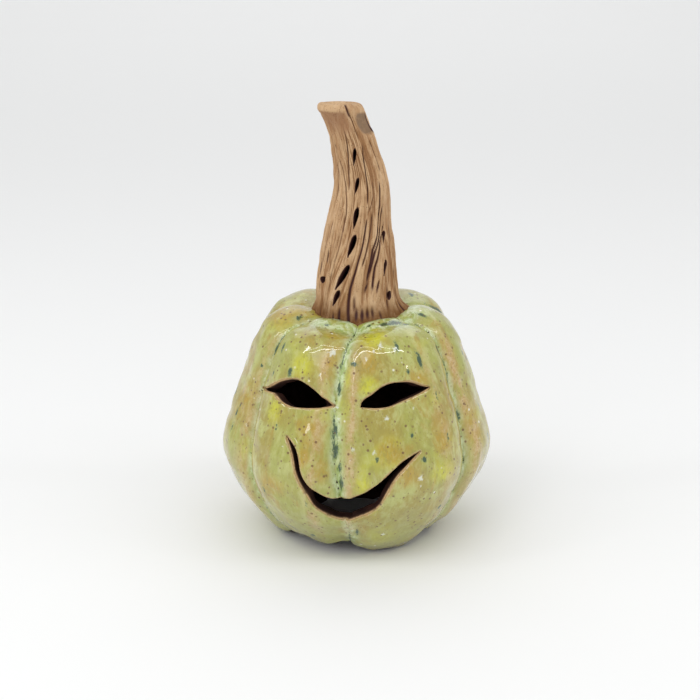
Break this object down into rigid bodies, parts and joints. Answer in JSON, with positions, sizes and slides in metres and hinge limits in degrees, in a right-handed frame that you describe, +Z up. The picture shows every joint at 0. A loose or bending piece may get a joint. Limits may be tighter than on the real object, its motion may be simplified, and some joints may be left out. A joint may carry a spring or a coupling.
{
  "type": "ceramic pumpkin figure",
  "caption": "Hollow lobed ceramic jack-o'-lantern with cut eyes and smiling mouth, glossy green glaze and a tall bare clay stem; open underneath for a light.",
  "frame": {"origin": "centre of the round opening in the foot, at the level on which the figure stands", "axes": "+Z up along the stem, the face looks along -Y, +X is to the viewer's right"},
  "size_m": [0.1288, 0.1285, 0.2075],
  "materials": {
    "body_clay": "bare reddish clay, matt",
    "glaze": "glossy yellow-green glaze with crystals and mint pooling",
    "stem_clay": "bare buff clay, matt, dark wash in its grooves"
  },
  "bodies": {
    "root": {"clay_body": "body_clay", "glaze_coat": "glaze", "luting_coil": "stem_clay", "stem": "stem_clay"}
  },
  "joints": []
}
